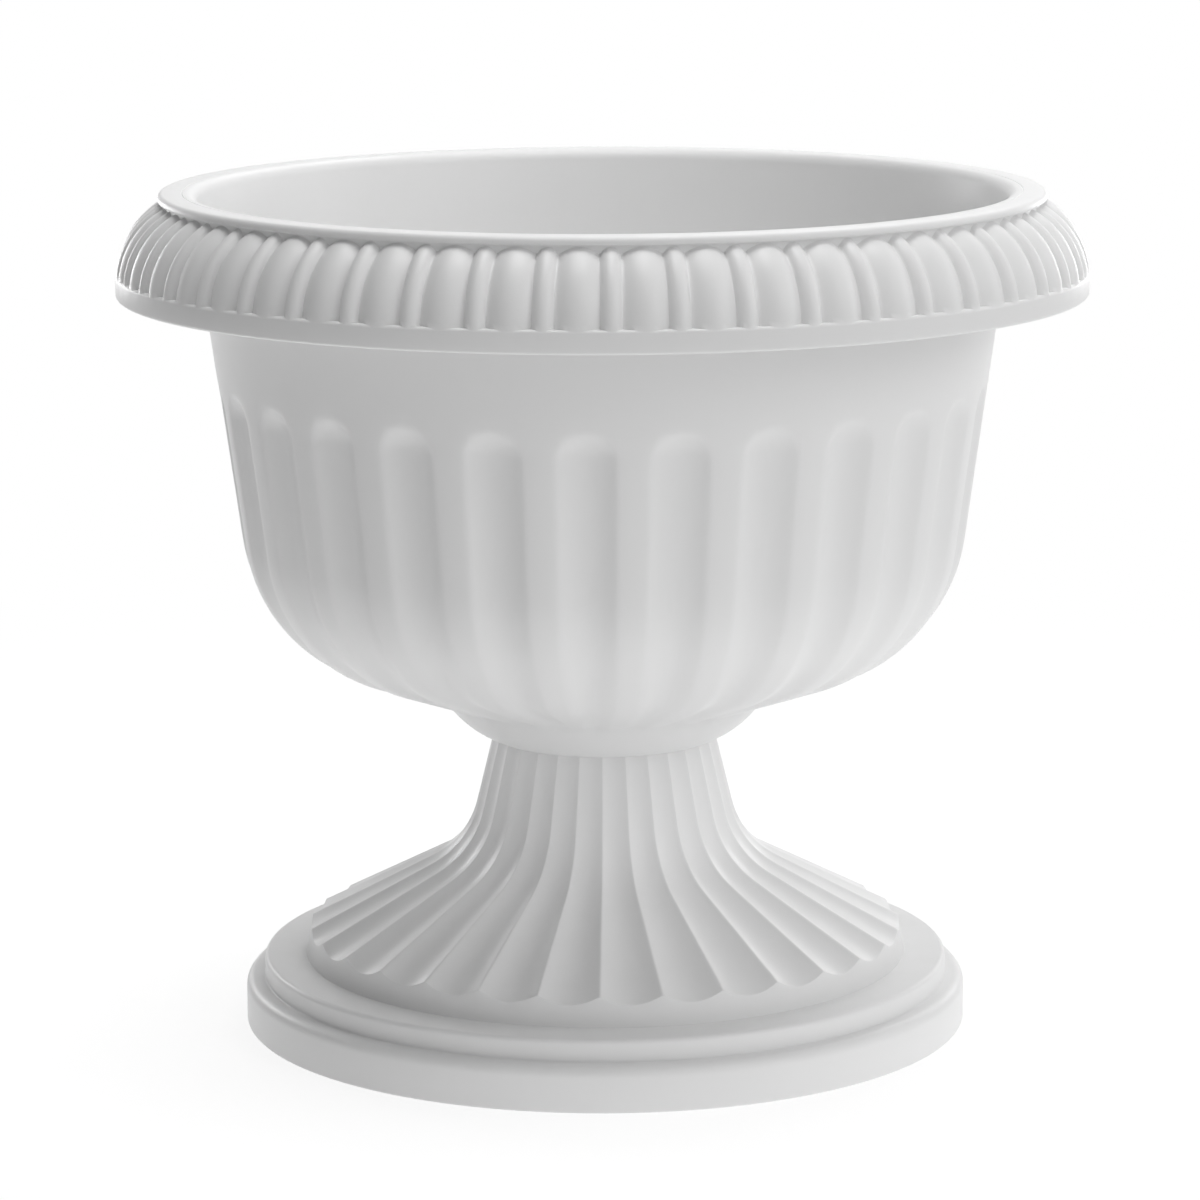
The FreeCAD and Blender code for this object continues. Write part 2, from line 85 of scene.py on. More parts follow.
def bow(start, end, radius, side, steps):
    """An arc between two points: side 1 has its centre left of the way along, -1 right."""
    chord = end - start
    left = 1j * chord / abs(chord)
    middle = (start + end) / 2 + side * left * math.sqrt(radius ** 2 - abs(chord) ** 2 / 4)
    return arc(middle, start, end, steps)


def straight(start, end, steps):
    """Evenly spaced points, without the first."""
    return [start + (end - start) * k / steps for k in range(1, steps + 1)]


def ways_in(line):
    """For each point of a line, the unit step square to it, to the left of the way along."""
    steps = []
    for k in range(len(line)):
        along = line[min(k + 1, len(line) - 1)] - line[max(k - 1, 0)]
        steps.append(1j * along / abs(along))
    return steps


def soft_max(one, other, softness):
    """The larger of two numbers, with the change-over rounded."""
    return (one + other + math.sqrt((one - other) ** 2 + softness ** 2)) / 2


print("outline helpers ready")

# %% [markdown]
# ## Growing a skin
#
# A skin grows ring by ring round Z. A ring is an outline point at every angle of a list. Where
# two rings use the same angles they are joined by quads. The rim repeats 48 times and the wall
# 27 times, so their rings can't share angles: there the rings are zipped with triangles, on a
# plain stretch where the change can't be seen.

# %% The skin helpers
def new_skin():
    return {"points": [], "faces": [], "ring": None, "angles": None}


def zip_rings(low, low_angles, high, high_angles):
    """Triangles between two rings of different angles, always stepping to the nearer one."""
    low_turn = list(low_angles) + [low_angles[0] + 360.0]
    high_turn = list(high_angles) + [high_angles[0] + 360.0]
    i = j = 0
    faces = []
    while i < len(low) or j < len(high):
        here, there = low[i % len(low)], high[j % len(high)]
        if j == len(high) or (i < len(low) and low_turn[i + 1] <= high_turn[j + 1]):
            i += 1
            faces.append((here, low[i % len(low)], there))
        else:
            j += 1
            faces.append((here, high[j % len(high)], there))
    return faces


def grow(skin, angles, outlines):
    """Add rings: outlines holds one list of points for each angle, all of one length."""
    for k in range(len(outlines[0])):
        first = len(skin["points"])
        for angle, outline in zip(angles, outlines):
            turn = math.radians(angle)
            point = outline[k]
            skin["points"].append((point.real * math.cos(turn), point.real * math.sin(turn),
                                   point.imag))
        join_ring(skin, list(range(first, len(skin["points"]))), angles)


def join_ring(skin, ring, angles):
    """Join a ring to the last one of the skin."""
    last = skin["ring"]
    if last and list(skin["angles"]) == list(angles):
        count = len(ring)
        skin["faces"] += [(last[i], last[(i + 1) % count], ring[(i + 1) % count], ring[i])
                          for i in range(count)]
    elif last:
        skin["faces"] += zip_rings(last, skin["angles"], ring, angles)
    skin["ring"], skin["angles"] = ring, angles


print("a ring of 2 and a ring of 3 zip with", len(zip_rings([0, 1], [0, 180], [2, 3, 4],
                                                           [0, 120, 240])), "triangles")

# %% Make the mesh of a skin
MERGE_WITHIN = 0.004
FLAT_WITHIN = 0.002


def to_object(skin, name, sharp=50.0):
    """Make the mesh: scale to metres, merge what coincides and shade it."""
    mesh = bpy.data.meshes.new(name)
    mesh.from_pydata([Vector(point) * MM for point in skin["points"]], [], skin["faces"])
    shape = bmesh.new()
    shape.from_mesh(mesh)
    bmesh.ops.remove_doubles(shape, verts=shape.verts, dist=MERGE_WITHIN * MM)
    bmesh.ops.dissolve_degenerate(shape, edges=shape.edges, dist=FLAT_WITHIN * MM)
    bmesh.ops.recalc_face_normals(shape, faces=shape.faces)
    open_edges = [edge for edge in shape.edges if len(edge.link_faces) != 2]
    for face in shape.faces:
        face.smooth = True
    for edge in shape.edges:
        if len(edge.link_faces) == 2 and edge.calc_face_angle() > math.radians(sharp):
            edge.smooth = False
    shape.to_mesh(mesh)
    shape.free()
    piece = bpy.data.objects.new(name, mesh)
    bpy.context.scene.collection.objects.link(piece)
    triangles = sum(len(polygon.vertices) - 2 for polygon in mesh.polygons)
    print(name, ":", triangles, "triangles,", len(open_edges), "open edges")
    return piece


# %% [markdown]
# ## Angles for each ring
#
# Detail goes where the shape turns. Each list gives the angles of one repeat, from a few named
# stops, and is then repeated round the circle.

# %% Angle lists
def repeated(stops, count):
    """One repeat's stops, as shares of half a repeat to each side, copied round the circle."""
    pitch = 360.0 / count
    both = sorted({-s for s in stops if 0 < s < 1} | set(stops))
    return sorted(pitch * (i + stop / 2) % 360.0 for i in range(count) for stop in both)


print("three repeats, with stops in the middle and halfway to each side:",
      repeated([0, 0.5], 3))

# %% [markdown]
# ## The rim
#
# Under the lip runs a ring of fat eggs and thin darts. Each is a bead of round section, bent
# over the same round shoulder, so the skin stands off the shoulder's centre line by the largest
# of three heights: egg, dart or the valley between. A soft maximum leaves the small fillet that
# a mould has in its corners.

# %% Sizes of the rim
FLANGE_RADIUS = 203.2
FLANGE_LOW = 312.3
FLANGE_TOP = 321.8
FLANGE_ROUND = 1.4

EGG_PAIRS = 48
RING_CENTRE = complex(166.5, 318.5)
RING_RADIUS = 36.6
RING_VALLEY = 3.6
EGG_RADIUS = 13.0
DART_RADIUS = 4.5

LIP_RADIUS = 185.2
LIP_FLAT_RADIUS = 178.0
LIP_LINE_RADIUS = 174.8
LIP_LOW = 351.8
LIP_ROUND = 2.4
LIP_UNDER_ROUND = 0.5
GROOVE_RADIUS = 183.2
MOUTH_ROUND = 5.0
MOUTH_LEAN = 0.135

rim_angles = repeated([0, .11, .21, .285, .325, .37, .44, .57, .72, .87, 1], EGG_PAIRS)
print("the rim has", len(rim_angles), "angles")

# %% Eggs and darts
PITCH = 360.0 / EGG_PAIRS
VALLEY_SOFTNESS = 0.35


def bead_height(aside, radius):
    """Top of a bead of round section, a distance aside from its middle."""
    return RING_RADIUS - radius + math.sqrt(max(radius ** 2 - aside ** 2, 0.0))


def ring_reach(lift, angle):
    """How far the skin stands from the ring's centre line, at a lift and an angle."""
    round_z = RING_CENTRE.real + RING_RADIUS * math.cos(lift)
    from_dart = (angle + PITCH / 2) % PITCH - PITCH / 2
    from_egg = angle % PITCH - PITCH / 2
    dart = bead_height(round_z * math.tan(math.radians(from_dart)), DART_RADIUS)
    egg = bead_height(round_z * math.tan(math.radians(from_egg)), EGG_RADIUS)
    beads = soft_max(dart, egg, VALLEY_SOFTNESS)
    return min(soft_max(beads, RING_RADIUS - RING_VALLEY, VALLEY_SOFTNESS), RING_RADIUS)


def ring_point(lift, angle):
    return RING_CENTRE + cmath.rect(ring_reach(lift, angle), lift)


def ledge_height(radius):
    """Height of the flange's top, whose outer edge is rounded."""
    past = radius - (FLANGE_RADIUS - FLANGE_ROUND)
    if past <= 0:
        return FLANGE_TOP
    return FLANGE_TOP - FLANGE_ROUND + math.sqrt(max(FLANGE_ROUND ** 2 - past ** 2, 0.0))


def halved(test, low, high):
    """Where a test that is false at low and true at high changes over."""
    for _ in range(30):
        middle = (low + high) / 2
        low, high = (low, middle) if test(middle) else (middle, high)
    return (low + high) / 2


# %% [markdown]
# One slice of the rim runs from the flat lip out over its rounded edge, into the dark groove,
# down over the beads to the flange, and back up inside the hollow of the rim.

# %% A slice of the rim
BEAD_STEPS = 16
LEDGE_STEPS = 4
CEILING_LIFT = math.radians(62.0)
HOLLOW_RADIUS = RING_RADIUS - RING_VALLEY - WALL
FLANGE_INSIDE = 3.2


def rim_slice(angle):
    flat, edge = complex(LIP_FLAT_RADIUS, LIP_TOP), complex(LIP_RADIUS, LIP_TOP)
    under_edge, groove = complex(LIP_RADIUS, LIP_LOW), complex(GROOVE_RADIUS, LIP_LOW)
    outline = [flat] + corner_round(flat, edge, under_edge, LIP_ROUND, 6)
    outline += corner_round(edge, under_edge, groove, LIP_UNDER_ROUND, 2) + [groove]
    high = halved(lambda lift: ring_point(lift, angle).real < GROOVE_RADIUS, 0.3, 1.4)
    low = halved(lambda lift: ring_point(lift, angle).imag
                 > ledge_height(ring_point(lift, angle).real), -0.2, 0.6)
    outline += [ring_point(high + (low - high) * k / BEAD_STEPS, angle)
                for k in range(BEAD_STEPS + 1)]
    foot = outline[-1].real
    round_start = max(foot, FLANGE_RADIUS - FLANGE_ROUND)
    outline.append(complex(foot + (round_start - foot) * 0.6, ledge_height(foot)))
    first = math.acos(min((round_start - FLANGE_RADIUS + FLANGE_ROUND) / FLANGE_ROUND, 1.0))
    middle = complex(FLANGE_RADIUS - FLANGE_ROUND, FLANGE_TOP - FLANGE_ROUND)
    outline += [middle + cmath.rect(FLANGE_ROUND, first * (1 - k / LEDGE_STEPS))
                for k in range(LEDGE_STEPS + 1)]
    under = complex(FLANGE_RADIUS - WALL, FLANGE_LOW)
    outline += corner_round(complex(FLANGE_RADIUS, FLANGE_TOP), complex(FLANGE_RADIUS, FLANGE_LOW),
                            under, FLANGE_ROUND, 4)
    outline += [under, under + FLANGE_INSIDE * 1j, RING_CENTRE + HOLLOW_RADIUS]
    outline += [RING_CENTRE + cmath.rect(HOLLOW_RADIUS, CEILING_LIFT * k / 5)
                for k in range(1, 6)]
    return outline


rim = [rim_slice(angle) for angle in rim_angles]
print("a rim slice has", len(rim[0]), "points; beads start at",
      round(max(point.imag for point in rim[0][14:20]), 2), "mm up")

# %% [markdown]
# ## The wall and its flutes
#
# A flute is pressed into the wall: a shallow round channel with a ball end at the top. It keeps
# its share of the way round, so it narrows under the bowl, where it also gets shallower. The
# wall has one thickness, so each flute shows inside as a rib.

# %% Sizes of the bowl's wall and flutes
# The wall's outline, from the rim down: a drafted wall, a round belly and a sloping underside.
WALL_TOP_RADIUS = 172.4
BELLY_CORNER = complex(146.9, 166.0)
BELLY_ROUND = 69.5
BOSS_EDGE = complex(68.0, 138.3)

BOWL_FLUTES = 27
FLUTE_HEAD = 264.0
FLUTE_DEPTH = 5.0
FLUTE_BELLY_DEPTH = 3.4
FLUTE_FOOT_DEPTH = 0.9
FLUTE_HALF_WIDTH = 11.05
FLUTE_HALF_ANGLE = 4.1
FLUTE_SOFTNESS = 1.5
RIB_WIDEN = 1.14
WAVE_WIDEN = 1.3
WAVE_FROM = 215.0
WAVE_OVER = 50.0

flute_edge = FLUTE_HALF_ANGLE / (180.0 / BOWL_FLUTES)
wall_angles = repeated([0, .2, .38, flute_edge - .12, flute_edge - .06, flute_edge,
                        flute_edge + .06, flute_edge + .13, flute_edge + .24, 1], BOWL_FLUTES)
print("the wall has", len(wall_angles), "angles")

# %% How deep the wall is pressed in
CHANNEL_RADIUS = 14.0
SECTION = CHANNEL_RADIUS / FLUTE_HALF_WIDTH
SECTION_EDGE = math.sqrt(SECTION ** 2 - 1)


def channel(share):
    """Depth of a round channel from 1 in its middle to 0 at its edge, then on below 0."""
    if share >= 1.0:
        slope = 1.0 / (SECTION_EDGE * (SECTION - SECTION_EDGE))
        return slope * (1.0 - share)
    return (math.sqrt(SECTION ** 2 - share ** 2) - SECTION_EDGE) / (SECTION - SECTION_EDGE)


def flute_sink(angle, point, depth, widen=1.0):
    """How far a point of the wall is pressed in: a round channel with softened edges on the
    wall, which turns into a wave where the bowl curves in."""
    pitch = 360.0 / BOWL_FLUTES
    aside = abs((angle + pitch / 2) % pitch - pitch / 2) / FLUTE_HALF_ANGLE
    above = max(point.imag - FLUTE_HEAD, 0.0) / FLUTE_HALF_WIDTH
    share = math.hypot(aside, above) / widen
    pressed = depth * channel(share)
    crisp = (pressed + math.sqrt(pressed ** 2 + FLUTE_SOFTNESS ** 2)) / 2
    wave = depth * (1 + math.cos(math.pi * min(share / WAVE_WIDEN, 1.0))) / 2
    waviness = min(max((WAVE_FROM - point.imag) / WAVE_OVER, 0.0), 1.0)
    return crisp + (wave - crisp) * waviness


# %% The wall's middle outline and its depths
PLAIN_HEIGHTS = (347.5, 330.0, 312.0, 296.0, 284.0)
ABOVE_BELLY = 250.0


def wall_line(inset):
    """The wall from the rim down to the boss, moved in by an inset, with each flute depth."""
    top = complex(WALL_TOP_RADIUS, LIP_TOP)
    draft = (BELLY_CORNER - top) / abs(BELLY_CORNER - top)

    def down_to(height):
        return top + draft * (height - top.imag) / draft.imag

    belly = corner_round(down_to(ABOVE_BELLY), BELLY_CORNER, BOSS_EDGE, BELLY_ROUND, 16)
    line = [down_to(height) for height in PLAIN_HEIGHTS]
    line += [down_to(FLUTE_HEAD + 1.5 * k) for k in range(9, -1, -1)]
    line += straight(line[-1], belly[0], 6)[:-1] + belly
    line += straight(belly[-1], BOSS_EDGE, 8)
    depths = []
    for point in line:
        up = (point.imag - BELLY_CORNER.imag) / (FLUTE_HEAD - BELLY_CORNER.imag)
        out = (point - BOSS_EDGE).real / (BELLY_CORNER - BOSS_EDGE).real
        on_wall = FLUTE_BELLY_DEPTH + (FLUTE_DEPTH - FLUTE_BELLY_DEPTH) * min(up, 1.0)
        below = FLUTE_FOOT_DEPTH + (FLUTE_BELLY_DEPTH - FLUTE_FOOT_DEPTH) * out
        depths.append(on_wall if out > 1 else min(on_wall, below))
    ways = [-step for step in ways_in(line)]
    return [point + way * inset for point, way in zip(line, ways)], ways, depths


def wall_slice(angle, inset=0.0, widen=1.0):
    line, ways, depths = wall_line(inset)
    return [point + way * flute_sink(angle, point, depth, widen)
            for point, way, depth in zip(line, ways, depths)]


wall = [wall_slice(angle) for angle in wall_angles]
print("a wall slice has", len(wall[0]), "points; deepest flute",
      round(max(flute_sink(0.0, p, FLUTE_DEPTH) for p in wall_line(0)[0]), 2), "mm")

# %% [markdown]
# ## Inside the bowl, and the lock below it
#
# Inside, the skin follows the wall three millimetres in, rounds over the mouth and meets the lip
# again, so the whole bowl is one closed shell. Below the boss hangs a short spigot with three
# lugs. The lugs need two rings and two columns at the same place, which are merged later.

# %% Sizes of the boss, the twist lock and the drain
BOSS_LOW_RADIUS = 47.9
BOSS_ROUND = 42.4
FLOOR = 3.5
SPIGOT_RADIUS = 29.8
SPIGOT_LENGTH = 8.0
LUG_REACH = 5.0
LUG_HEIGHT = 3.5
LUG_ANGLE = 34.0
LUG_COUNT = 3
LUG_GAP = 0.3
RUNNING_GAP = 0.1
LOCK_TURN = 50.0
STOP_ANGLE = 8.0
SLACK_ANGLE = 0.7
DRAIN_RADIUS = 9.0

inside_angles = repeated([0, .25, .5, flute_edge, flute_edge + .16, 1], BOWL_FLUTES)
print("the inside has", len(inside_angles), "angles")

# %% A slice of the inside, from the floor up to the lip
INSIDE_TOP = 346.0
FLOOR_RADIUS = 30.0


def inside_slice(angle):
    floor_top = SEAT + FLOOR
    boss = bow(complex(BOSS_LOW_RADIUS, SEAT), BOSS_EDGE, BOSS_ROUND, 1, 6)
    boss_ways = ways_in(boss)
    low = [point + way * WALL for point, way in zip(boss, boss_ways) if
           (point + way * WALL).imag > floor_top + 0.5]
    plain = wall_line(WALL)[0]
    up = [point for point, at in zip(wall_slice(angle, WALL, RIB_WIDEN), plain)
          if low[-1].imag + 1.0 < at.imag < INSIDE_TOP][::-1]
    mouth_foot = up[-1]
    mouth = complex(mouth_foot.real + (LIP_TOP - mouth_foot.imag) * MOUTH_LEAN, LIP_TOP)
    outline = [complex(FLOOR_RADIUS, floor_top), complex(low[0].real - 1.6, floor_top)] + low + up
    outline += corner_round(mouth_foot, mouth, complex(LIP_FLAT_RADIUS, LIP_TOP), MOUTH_ROUND, 7)
    # a hair line runs round the flat lip
    line = complex(LIP_LINE_RADIUS, LIP_TOP)
    return outline + [line, line + 0.25 - 0.3j, line + 0.5]


print("an inside slice has", len(inside_slice(0.0)), "points")

# %% A slice of the spigot and its lugs
SEAT_RADIUS = 38.0
DRAIN_RIM_RADIUS = 16.0


def lug_reach(angle):
    """How far the lugs stand out from the spigot at one angle."""
    pitch = 360.0 / LUG_COUNT
    aside = abs((angle + pitch / 2) % pitch - pitch / 2)
    return LUG_REACH if aside < LUG_ANGLE / 2 else 0.0


def spigot_slice(reach):
    """From the boss's seat down round the spigot and up to the floor beside the drain."""
    top = SEAT - WALL - LUG_GAP
    inner = SPIGOT_RADIUS - WALL
    foot, lug_foot = SEAT - SPIGOT_LENGTH, top - LUG_HEIGHT
    outline = [complex(SEAT_RADIUS, SEAT), complex(SPIGOT_RADIUS, SEAT)]
    outline += [complex(SPIGOT_RADIUS, top), complex(SPIGOT_RADIUS + reach, top)]
    outline += [complex(SPIGOT_RADIUS + reach, lug_foot), complex(SPIGOT_RADIUS, lug_foot)]
    outline += [complex(SPIGOT_RADIUS, foot), complex(inner, foot), complex(inner, SEAT)]
    outline += [complex(DRAIN_RADIUS, SEAT), complex(DRAIN_RADIUS, SEAT + FLOOR)]
    return outline + [complex(DRAIN_RIM_RADIUS, SEAT + FLOOR)]


print("the spigot stands out", [lug_reach(angle) for angle in (0.0, 60.0)], "mm, on and off a lug")

# %% Columns of points for upright steps
def stepped(edges, pitch, step=3.0):
    """Angles over one circle, with two at each edge, so that a wall there can stand upright.
    Each comes with the angle just before or after the edge, at which to ask for its shape."""
    pairs = []
    starts = sorted({round(edge % pitch, 4) for edge in edges})
    for turn in range(round(360.0 / pitch)):
        for i, start in enumerate(starts):
            end = starts[i + 1] if i + 1 < len(starts) else starts[0] + pitch
            count = max(math.ceil((end - start) / step), 1)
            for k in range(count + 1):
                angle = start + (end - start) * k / count
                inside = min(max(angle, start + 0.01), end - 0.01)
                pairs.append(((turn * pitch + angle) % 360.0, (turn * pitch + inside) % 360.0))
    return sorted(pairs, key=lambda pair: pair[1])


# %% The bowl's whole skin
lug_columns = stepped([-LUG_ANGLE / 2, LUG_ANGLE / 2], 360.0 / LUG_COUNT)
lug_angles = [angle for angle, _ in lug_columns]
boss_outline = bow(BOSS_EDGE, complex(BOSS_LOW_RADIUS, SEAT), BOSS_ROUND, -1, 7)[1:]

bowl_skin = new_skin()
grow(bowl_skin, rim_angles, rim)
grow(bowl_skin, wall_angles, wall)
grow(bowl_skin, inside_angles, [boss_outline] * len(inside_angles))
grow(bowl_skin, lug_angles, [spigot_slice(lug_reach(inside)) for _, inside in lug_columns])
grow(bowl_skin, inside_angles, [inside_slice(angle) for angle in inside_angles])
join_ring(bowl_skin, list(range(len(rim_angles))), rim_angles)
bowl = to_object(bowl_skin, "bowl_shell")
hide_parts("bowl")
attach(bowl, "bowl")

# %% [markdown]
# ## The pedestal
#
# From the ground: a band, a step, a low drum and then a flared skirt of hollow flutes that meet
# in ridges. A flute cuts lower on the drum than a ridge does, which draws the scalloped edge. So
# each slice first finds how deep its flute is, and ends the skirt where that depth says.

# %% Sizes of the pedestal
BAND_RADIUS = 154.0
BAND_TOP = 19.2
BAND_ROUND = 4.5
FOOT_ROUND = 1.0
STEP_RADIUS = 146.0
STEP_TOP = 28.3
STEP_ROUND = 2.2
STEP_FOOT_ROUND = 0.6
DRUM_RADIUS = 128.3
DRUM_BOW = 40.0
SKIRT_EDGE = complex(126.3, 40.6)
SKIRT_CORNER = complex(58.8, 75.3)
SKIRT_ROUND = 38.0
NECK_TOP = complex(47.3, SEAT)
SKIRT_FLUTES = 31
SKIRT_DEPTH = 3.2
SKIRT_TURN = 1.0

skirt_angles = [angle + SKIRT_TURN for angle in
                repeated([0, .03, .07, .14, .25, .4, .6, .8, 1], SKIRT_FLUTES)]
print("the pedestal has", len(skirt_angles), "angles")

# %% How deep the skirt's flutes are
RIDGE_SOFTNESS = 0.05
SKIRT_STEPS = 9


def skirt_hollow(angle):
    """Depth of the skirt's flutes at an angle: 0 on a ridge and 1 in the middle of a flute."""
    pitch = 360.0 / SKIRT_FLUTES
    from_ridge = abs((angle - SKIRT_TURN + pitch / 2) % pitch - pitch / 2) / (pitch / 2)
    soft = math.sqrt(from_ridge ** 2 + RIDGE_SOFTNESS ** 2) - RIDGE_SOFTNESS
    soft /= math.sqrt(1 + RIDGE_SOFTNESS ** 2) - RIDGE_SOFTNESS
    return 2 * soft - soft ** 2


def skirt_line(inset):
    """The ridge line from the skirt's edge to the neck, moved in by an inset."""
    bend = corner_round(SKIRT_EDGE, SKIRT_CORNER, NECK_TOP, SKIRT_ROUND, 12)
    line = [SKIRT_EDGE] + straight(SKIRT_EDGE, bend[0], SKIRT_STEPS)[:-1] + bend
    line += straight(bend[-1], NECK_TOP, 6)
    ways = ways_in(line)
    return [point + way * inset for point, way in zip(line, ways)], ways


def skirt_slice(angle, inset=0.0):
    """The skirt at one angle, from its edge up to the neck. Near the edge a point sinks straight
    down, so that the edge stays over the drum; higher up it sinks square to the skirt."""
    line, ways = skirt_line(inset)
    hollow = skirt_hollow(angle) * SKIRT_DEPTH / SKIRT_EDGE.real
    outline = []
    for k, (point, way) in enumerate(zip(line, ways)):
        sink = hollow * point.real
        upright = max(1 - k / SKIRT_STEPS, 0.0)
        plumb = -1j / abs(way.imag)
        outline.append(point + (way * (1 - upright) + plumb * upright) * sink)
    return outline


# %% A slice of the pedestal's outside
EDGE_SOFTNESS = 0.7
EDGE_ROUND = EDGE_SOFTNESS * 0.55
DRUM_PLAIN_TOP = 36.0


def foot_outline():
    """Band and step, from the ground up to the foot of the drum."""
    ground = complex(BAND_RADIUS - WALL, 0)
    band = [ground, complex(BAND_RADIUS, 0), complex(BAND_RADIUS, BAND_TOP),
            complex(STEP_RADIUS, BAND_TOP), complex(STEP_RADIUS, STEP_TOP),
            complex(DRUM_RADIUS, STEP_TOP)]
    outline = [ground] + corner_round(band[0], band[1], band[2], FOOT_ROUND, 3)
    outline += corner_round(band[1], band[2], band[3], BAND_ROUND, 8)
    outline += corner_round(band[2], band[3], band[4], STEP_FOOT_ROUND, 2)
    outline += corner_round(band[3], band[4], band[5], STEP_ROUND, 6)
    return outline + [complex(DRUM_RADIUS + 0.5, STEP_TOP)]


def pedestal_slice(angle):
    drum = bow(complex(DRUM_RADIUS, STEP_TOP), SKIRT_EDGE, DRUM_BOW, -1, 12)
    skirt = skirt_slice(angle)
    edge = skirt[0]
    wall_up = [point for point in drum if point.imag < DRUM_PLAIN_TOP]
    above = (skirt[1] - skirt[0]) / abs(skirt[1] - skirt[0])
    below = (edge - wall_up[-1]) / abs(edge - wall_up[-1])
    just_under = edge - below * EDGE_SOFTNESS
    wall_up.append((wall_up[-1] + just_under) / 2)
    turned_over = corner_round(edge - below, edge, edge + above, EDGE_ROUND, 3)
    return foot_outline() + wall_up + turned_over + skirt[1:]


print("the skirt's edge is at", [round(skirt_slice(SKIRT_TURN + aside)[0].imag, 1)
                                 for aside in (0.0, 180.0 / SKIRT_FLUTES)],
      "mm, under a ridge and under a flute")

# %% A slice of the neck's plate
PLATE_RADIUS = 42.0
half_lug = LUG_ANGLE / 2 + SLACK_ANGLE
STOP_MIDDLES = (-half_lug - STOP_ANGLE / 2, LOCK_TURN + half_lug + STOP_ANGLE / 2)


def plate_slice(angle):
    """The neck's plate: its top, its hole with the lugs' slots, and the stops underneath."""
    pitch = 360.0 / LUG_COUNT
    from_slot = abs((angle - LOCK_TURN + pitch / 2) % pitch - pitch / 2)
    hole = SPIGOT_RADIUS + RUNNING_GAP
    if from_slot < LUG_ANGLE / 2 + SLACK_ANGLE:
        hole = SPIGOT_RADIUS + LUG_REACH + LUG_GAP
    drop = 0.0
    for stop in STOP_MIDDLES:
        if abs((angle - stop + pitch / 2) % pitch - pitch / 2) < STOP_ANGLE / 2:
            drop = LUG_GAP + LUG_HEIGHT
    under = SEAT - WALL
    inner, outer = SPIGOT_RADIUS + 2 * LUG_GAP, SPIGOT_RADIUS + LUG_REACH + WALL
    inner = max(inner, hole)
    return [complex(PLATE_RADIUS, SEAT), complex(hole, SEAT), complex(hole, under),
            complex(inner, under), complex(inner, under - drop), complex(outer, under - drop),
            complex(outer, under), complex(PLATE_RADIUS, under)]


print("the plate's hole has a radius of", [round(plate_slice(angle)[1].real, 1)
                                           for angle in (0.0, LOCK_TURN)],
      "mm, between the slots and at one")

# %% A slice of the underside
BAND_INSIDE_ROUND = 3.0


def underside_slice(angle):
    """Back down inside: the skirt from below, the step and the band."""
    plain = skirt_line(WALL)[0]
    inside = [point for point, at in zip(skirt_slice(angle, WALL), plain)
              if at.imag < SEAT - WALL - 1.5][::-1]
    step, band = STEP_TOP - WALL, BAND_TOP - WALL
    corner = inside[-1]
    outline = [complex(inside[0].real - 1.0, SEAT - WALL)] + inside
    outline += [complex(corner.real, step), complex(STEP_RADIUS - WALL, step),
                complex(STEP_RADIUS - WALL, band)]
    return outline + corner_round(complex(STEP_RADIUS, band), complex(BAND_RADIUS - WALL, band),
                                  complex(BAND_RADIUS - WALL, 0), BAND_INSIDE_ROUND, 4)


print("an underside slice has", len(underside_slice(0.0)), "points")

# %% The pedestal's whole skin
plate_edges = [LOCK_TURN - half_lug, LOCK_TURN + half_lug]
for stop in STOP_MIDDLES:
    plate_edges += [stop - STOP_ANGLE / 2, stop + STOP_ANGLE / 2]
plate_columns = stepped(plate_edges, 360.0 / LUG_COUNT)

pedestal_skin = new_skin()
grow(pedestal_skin, skirt_angles, [pedestal_slice(angle) for angle in skirt_angles])
grow(pedestal_skin, [angle for angle, _ in plate_columns],
     [plate_slice(inside) for _, inside in plate_columns])
grow(pedestal_skin, skirt_angles, [underside_slice(angle) for angle in skirt_angles])
join_ring(pedestal_skin, list(range(len(skirt_angles))), skirt_angles)
pedestal = to_object(pedestal_skin, "pedestal_shell")
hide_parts("pedestal")
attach(pedestal, "pedestal")

# %% [markdown]
# ## The drain plug
#
# A stopper with a broad head and a flat pull. It grows from the same rings: the pull is a
# flattened oval section whose last rings shrink, which rounds its top.

# %% The plug
PLUG_HEAD_RADIUS = 15.0
PLUG_HEAD = 3.0
PLUG_STEM = 9.0
STEM_ROUND = 1.5
HEAD_ROUND = 1.2
HEAD_FLAT_RADIUS = 10.0
PULL_LENGTH = 16.0
PULL_WIDTH = 5.0
PULL_HIGH = 11.0
PULL_ROUND = 2.2
PULL_SQUARENESS = 5.0


def pull_radius(angle, shrink):
    """Radius of the pull's section at one angle: between an oval and a rectangle."""
    across = abs(math.cos(math.radians(angle))) / (PULL_LENGTH / 2 - shrink)
    deep = abs(math.sin(math.radians(angle))) / (PULL_WIDTH / 2 - shrink)
    return (across ** PULL_SQUARENESS + deep ** PULL_SQUARENESS) ** (-1 / PULL_SQUARENESS)


